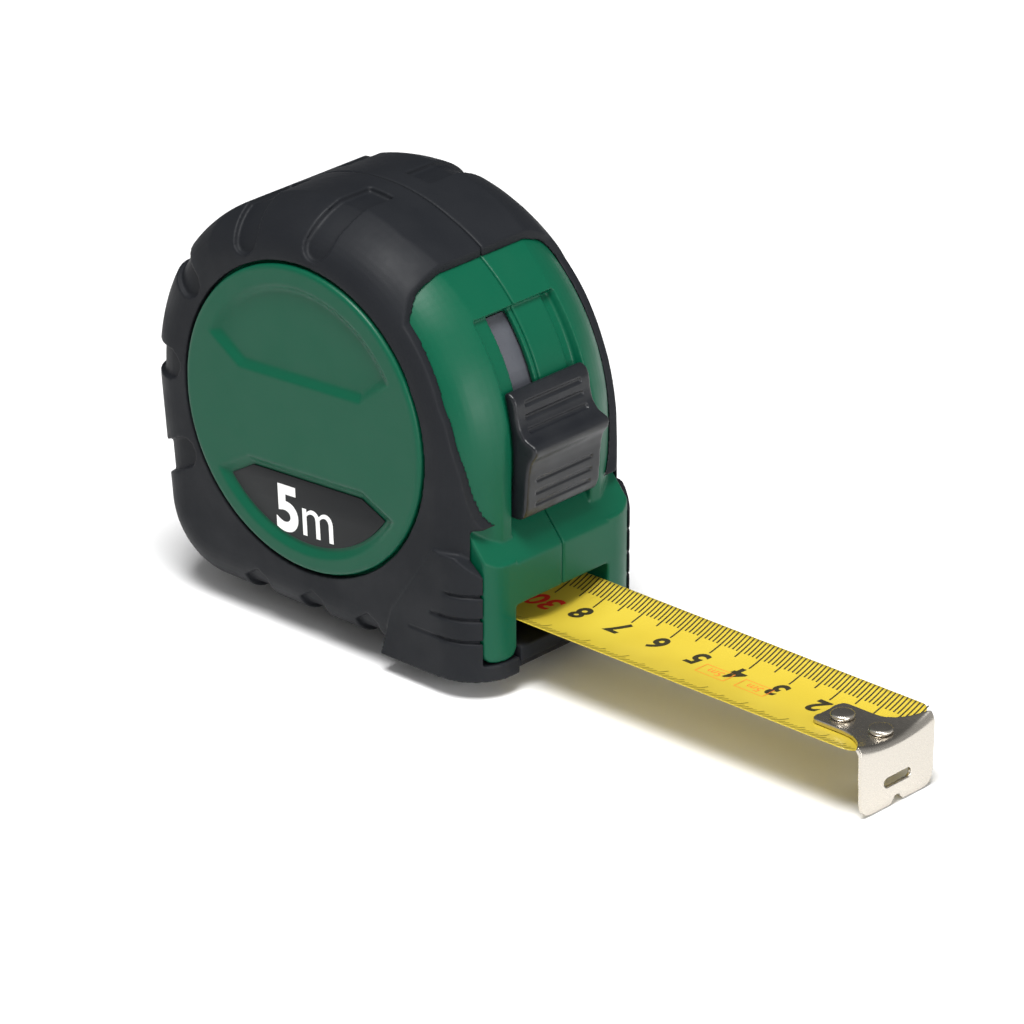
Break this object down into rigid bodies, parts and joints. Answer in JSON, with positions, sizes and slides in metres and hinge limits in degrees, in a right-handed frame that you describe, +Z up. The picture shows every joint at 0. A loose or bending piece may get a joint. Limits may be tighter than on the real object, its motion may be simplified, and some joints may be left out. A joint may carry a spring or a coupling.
{
  "type": "tape measure",
  "caption": "Pocket tape measure: round-backed case with rubber grips, thumb lock on the front, dished steel blade drawn out of the mouth, end hook and belt clip.",
  "frame": {"origin": "on the base plane, straight below the drum's axis, on the case's middle plane", "axes": "+X the way the blade is drawn out, +Y across the case to the belt-clip side, +Z up"},
  "size_m": [0.1741, 0.0593, 0.0898],
  "materials": {
    "case_plastic": "satin moulded ABS",
    "grip_rubber": "matt overmoulded rubber",
    "label": "smooth printed film",
    "steel": "zinc plated",
    "blade_enamel": "yellow lacquer",
    "nickel": "satin nickel",
    "drum_plastic": "as moulded",
    "spring_steel": "blued strip",
    "button_plastic": "satin",
    "slide_plastic": "as moulded"
  },
  "bodies": {
    "case": {"case_shell_left": "case_plastic", "grip_left": "grip_rubber", "label_left": "label", "case_shell_right": "case_plastic", "grip_right": "grip_rubber", "label_right": "label", "mouth_bumper": "grip_rubber", "centre_post": "steel", "case_screw_1": "steel", "case_screw_2": "steel", "case_screw_3": "steel", "case_screw_4": "steel", "belt_clip": "steel", "clip_screw": "steel"},
    "blade": {"blade_lead": "blade_enamel", "blade_strip": "blade_enamel", "hook_rivet_1": "nickel", "hook_rivet_2": "nickel"},
    "hook": {"end_hook": "nickel"},
    "spool": {"spool_drum": "drum_plastic", "spring_cover": "drum_plastic", "blade_coil": "blade_enamel", "power_spring": "spring_steel"},
    "lock": {"lock_button": "button_plastic", "lock_slide": "slide_plastic", "brake_pad": "grip_rubber"}
  },
  "joints": [
    {"name": "blade_slide", "type": "slide", "parent": "case", "child": "blade", "axis": [1, 0, 0], "range_m": [-0.08, 0], "deforming": ["blade_lead"]},
    {"name": "hook_play", "type": "slide", "parent": "blade", "child": "hook", "axis": [1, 0, 0], "range_m": [-0.001, 0]},
    {"name": "spool_spin", "type": "hinge", "parent": "case", "child": "spool", "pos_m": [0, 0, 0.0432], "axis": [0, -1, 0], "range_deg": [-165, 1]},
    {"name": "lock_travel", "type": "hinge", "parent": "case", "child": "lock", "pos_m": [0.0018, 0, 0.0424], "axis": [0, -1, 0], "range_deg": [0, 12]}
  ],
  "couplings": [
    {"joint": "spool_spin", "follows": "blade_slide", "rad_per_m": 35.7}
  ]
}
